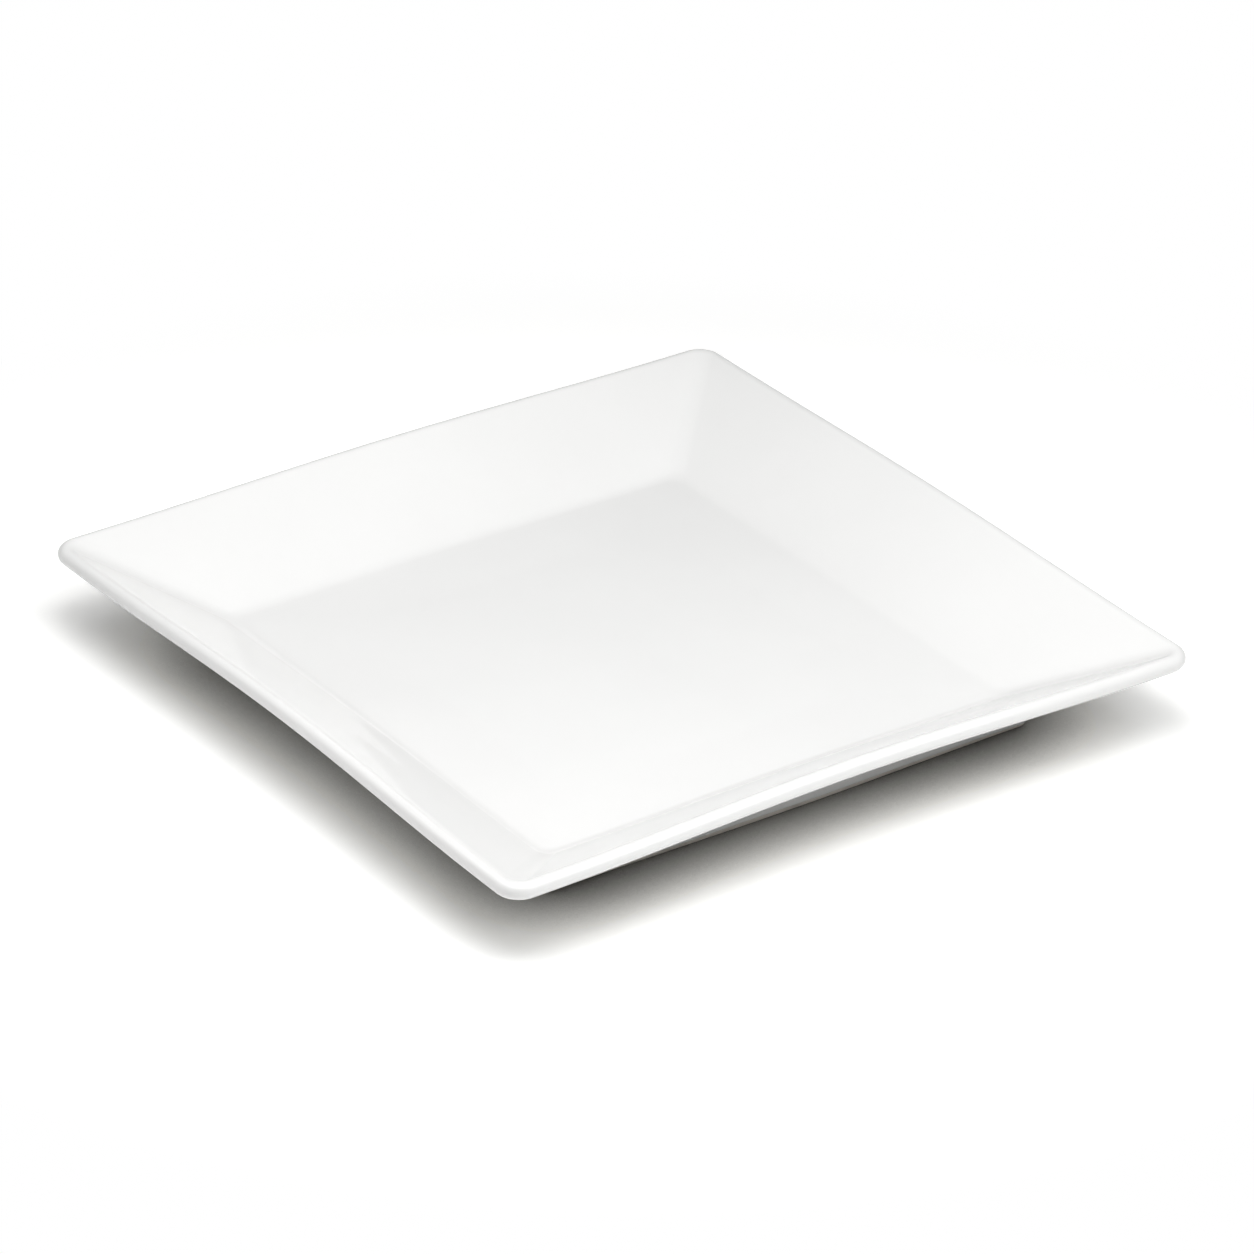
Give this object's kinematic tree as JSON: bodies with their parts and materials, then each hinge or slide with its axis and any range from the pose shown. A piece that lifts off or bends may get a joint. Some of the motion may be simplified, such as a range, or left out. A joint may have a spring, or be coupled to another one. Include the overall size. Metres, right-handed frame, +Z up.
{
  "type": "square shallow bowl",
  "caption": "Square shallow bowl of white glazed porcelain, with a flat well, straight flaring sides, a rounded lip that arches slightly along each side, and a bare foot ring.",
  "frame": {"origin": "on the table, under the middle of the bowl", "axes": "+Z up out of the bowl; X and Y square to its sides"},
  "size_m": [0.256, 0.256, 0.0329],
  "materials": {
    "bare_porcelain": "unglazed, fired and wiped clean, matte",
    "white_glaze": "clear bright glaze over white porcelain, glossy"
  },
  "bodies": {
    "root": {"porcelain_body": "bare_porcelain", "glaze_coat": "white_glaze", "foot_recess_glaze": "white_glaze"}
  },
  "joints": []
}
